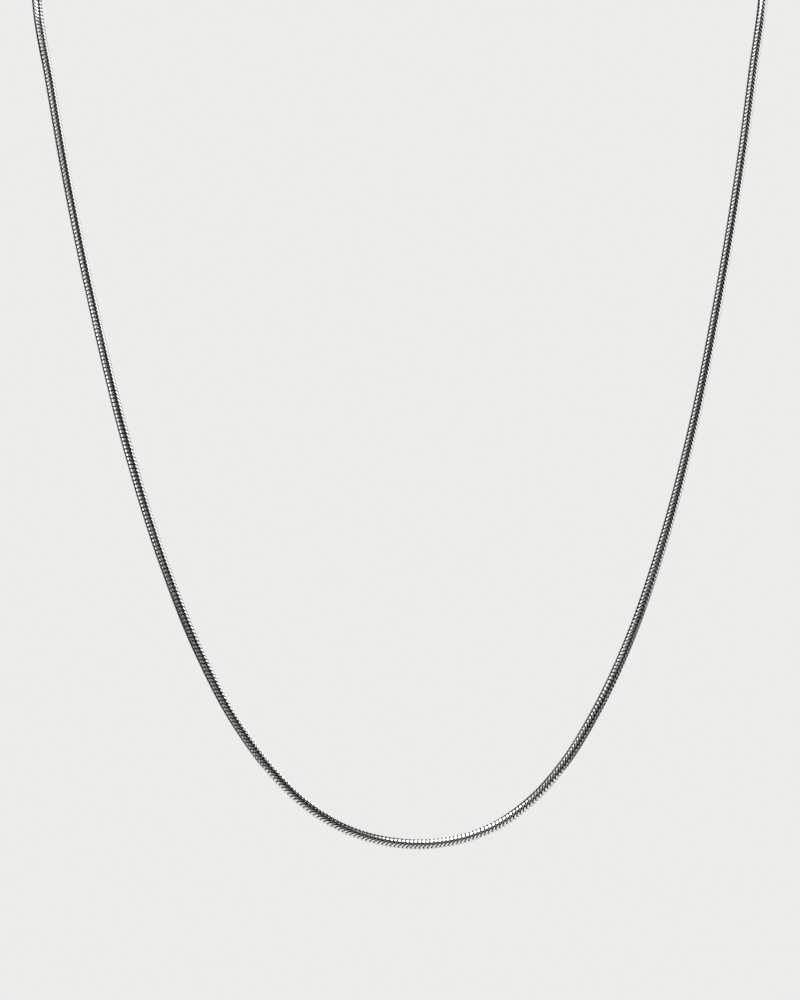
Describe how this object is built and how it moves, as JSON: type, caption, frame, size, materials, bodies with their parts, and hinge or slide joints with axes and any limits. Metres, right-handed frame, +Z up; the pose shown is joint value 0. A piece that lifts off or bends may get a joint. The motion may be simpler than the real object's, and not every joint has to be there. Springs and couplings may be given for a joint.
{
  "type": "snake chain necklace",
  "caption": "Slim silver snake chain necklace that hangs in a deep U, closed at the nape by end caps, jump rings and a lobster clasp.",
  "frame": {"origin": "centre of the neck opening, level with the collar, halfway between the front strands at the collar and the nape", "axes": "+Z up, as worn; -Y to the front, where the chain hangs lowest; +X to the wearer's left"},
  "size_m": [0.1152, 0.0765, 0.1607],
  "materials": {
    "chain_silver": "polished",
    "fitting_silver": "polished"
  },
  "bodies": {
    "root": {"snake_chain_left": "chain_silver", "snake_chain_right": "chain_silver", "end_cap_left": "fitting_silver", "end_cap_right": "fitting_silver", "ring_left": "fitting_silver", "ring_right": "fitting_silver", "lobster_clasp": "fitting_silver"}
  },
  "joints": []
}
